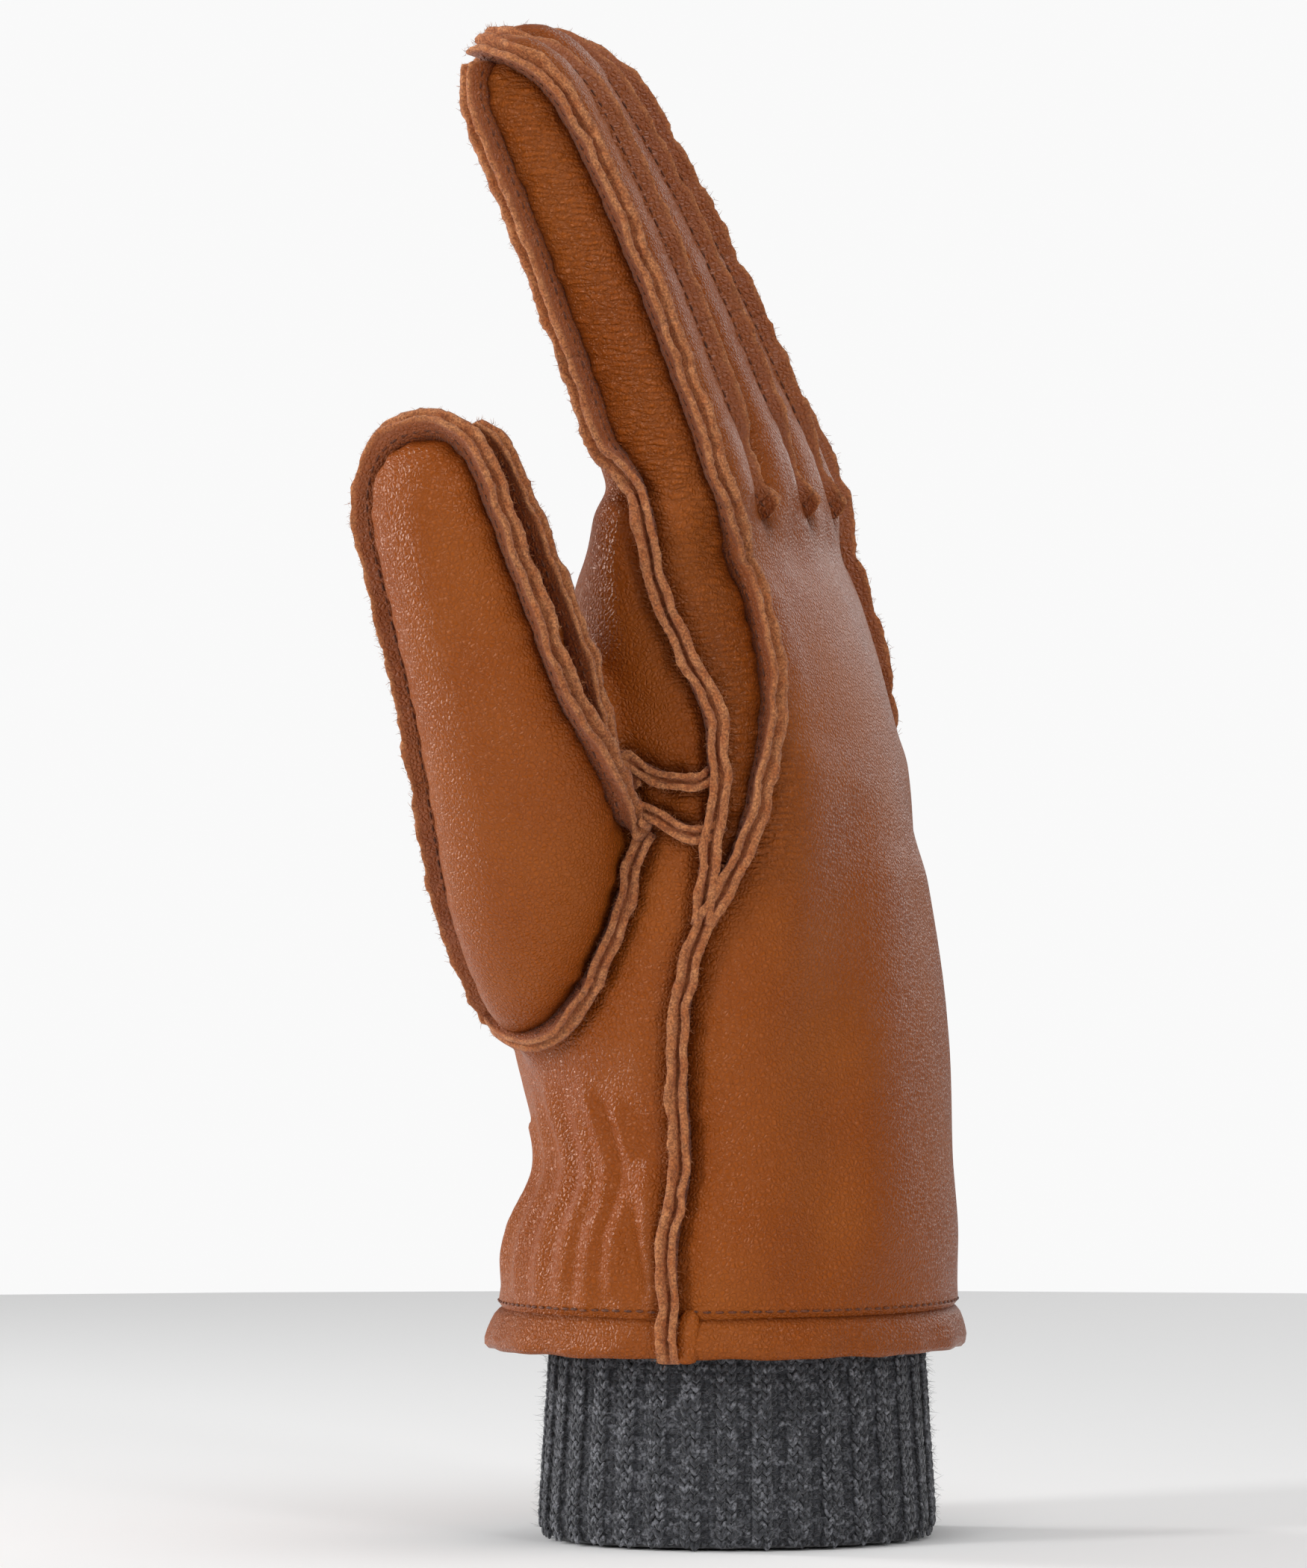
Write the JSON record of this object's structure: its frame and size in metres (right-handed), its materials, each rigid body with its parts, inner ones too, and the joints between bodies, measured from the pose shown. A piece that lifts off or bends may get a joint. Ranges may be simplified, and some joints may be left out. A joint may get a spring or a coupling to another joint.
{
  "type": "touchscreen glove",
  "caption": "Right-hand leather glove with raw-edge outside seams, elastic wrist, knitted liner and ribbed knit cuff; finger and thumb stalls bend at their creases.",
  "frame": {"origin": "centre of the cuff's mouth, in the plane of the cuff's lower edge", "axes": "+Z from the wrist to the fingertips, +X to the back of the hand, -X to the palm, -Y to the thumb side, +Y to the little finger"},
  "size_m": [0.0925, 0.1267, 0.2709],
  "materials": {
    "leather": "smooth semi-matt dyed leather with a fine grain",
    "wool_knit": "heather wool knit, matt and fuzzy",
    "thread": "sewing thread, satin",
    "elastic": "woven elastic band, matt",
    "conductive_pad": "conductive cloth, matt"
  },
  "bodies": {
    "hand": {"back_panel": "leather", "palm_panel": "leather", "index_side_gusset": "leather", "little_side_gusset": "leather", "thumb_quirk": "leather", "finger_webs": "leather", "hem_facing": "leather", "hem_thread": "thread", "wrist_elastic": "elastic", "hand_liner": "wool_knit", "rib_cuff": "wool_knit", "thumb_front_ball": "leather", "thumb_back_ball": "leather", "thumb_fourchette_ball": "leather", "thumb_liner_ball": "wool_knit"},
    "index_base": {"index_back_base": "leather", "index_palm_base": "leather", "index_fourchettes_base": "leather", "index_liner_base": "wool_knit"},
    "index_tip": {"index_back_tip": "leather", "index_palm_tip": "leather", "index_fourchettes_tip": "leather", "index_liner_tip": "wool_knit", "index_touch_pad": "conductive_pad"},
    "middle_base": {"middle_back_base": "leather", "middle_palm_base": "leather", "middle_fourchettes_base": "leather", "middle_liner_base": "wool_knit"},
    "middle_tip": {"middle_back_tip": "leather", "middle_palm_tip": "leather", "middle_fourchettes_tip": "leather", "middle_liner_tip": "wool_knit"},
    "ring_base": {"ring_back_base": "leather", "ring_palm_base": "leather", "ring_fourchettes_base": "leather", "ring_liner_base": "wool_knit"},
    "ring_tip": {"ring_back_tip": "leather", "ring_palm_tip": "leather", "ring_fourchettes_tip": "leather", "ring_liner_tip": "wool_knit"},
    "little_base": {"little_back_base": "leather", "little_palm_base": "leather", "little_fourchettes_base": "leather", "little_liner_base": "wool_knit"},
    "little_tip": {"little_back_tip": "leather", "little_palm_tip": "leather", "little_fourchettes_tip": "leather", "little_liner_tip": "wool_knit"},
    "thumb_base": {"thumb_front_base": "leather", "thumb_back_base": "leather", "thumb_fourchette_base": "leather", "thumb_liner_base": "wool_knit"},
    "thumb_tip": {"thumb_front_tip": "leather", "thumb_back_tip": "leather", "thumb_fourchette_tip": "leather", "thumb_liner_tip": "wool_knit", "thumb_touch_pad": "conductive_pad"}
  },
  "joints": [
    {"name": "index_root_bend", "type": "hinge", "parent": "hand", "child": "index_base", "pos_m": [-0.0086, -0.0354, 0.185], "axis": [0, -1, 0], "range_deg": [-5, 45], "stiffness_Nm_per_rad": 0.06},
    {"name": "index_middle_bend", "type": "hinge", "parent": "index_base", "child": "index_tip", "pos_m": [-0.02091, -0.0354, 0.21845], "axis": [0, -1, 0], "range_deg": [-4, 48], "stiffness_Nm_per_rad": 0.06},
    {"name": "middle_root_bend", "type": "hinge", "parent": "hand", "child": "middle_base", "pos_m": [-0.00754, -0.0118, 0.185], "axis": [0, -1, 0], "range_deg": [-5, 45], "stiffness_Nm_per_rad": 0.06},
    {"name": "middle_middle_bend", "type": "hinge", "parent": "middle_base", "child": "middle_tip", "pos_m": [-0.02171, -0.0118, 0.21963], "axis": [0, -1, 0], "range_deg": [-4, 48], "stiffness_Nm_per_rad": 0.06},
    {"name": "ring_root_bend", "type": "hinge", "parent": "hand", "child": "ring_base", "pos_m": [-0.00748, 0.0118, 0.185], "axis": [0, -1, 0], "range_deg": [-5, 45], "stiffness_Nm_per_rad": 0.06},
    {"name": "ring_middle_bend", "type": "hinge", "parent": "ring_base", "child": "ring_tip", "pos_m": [-0.02303, 0.0118, 0.21909], "axis": [0, -1, 0], "range_deg": [-4, 48], "stiffness_Nm_per_rad": 0.06},
    {"name": "little_root_bend", "type": "hinge", "parent": "hand", "child": "little_base", "pos_m": [-0.00827, 0.0338, 0.185], "axis": [0, -1, 0], "range_deg": [-5, 40], "stiffness_Nm_per_rad": 0.06},
    {"name": "little_middle_bend", "type": "hinge", "parent": "little_base", "child": "little_tip", "pos_m": [-0.02138, 0.0338, 0.20889], "axis": [0, -1, 0], "range_deg": [-4, 48], "stiffness_Nm_per_rad": 0.06},
    {"name": "thumb_root_bend", "type": "hinge", "parent": "hand", "child": "thumb_base", "pos_m": [-0.03789, -0.05198, 0.1329], "axis": [0.0296, -0.9583, -0.2842], "range_deg": [-4, 15], "stiffness_Nm_per_rad": 0.06},
    {"name": "thumb_tip_bend", "type": "hinge", "parent": "thumb_base", "child": "thumb_tip", "pos_m": [-0.0417, -0.05958, 0.16124], "axis": [0.0425, -0.9818, -0.1849], "range_deg": [-4, 26], "stiffness_Nm_per_rad": 0.06}
  ]
}
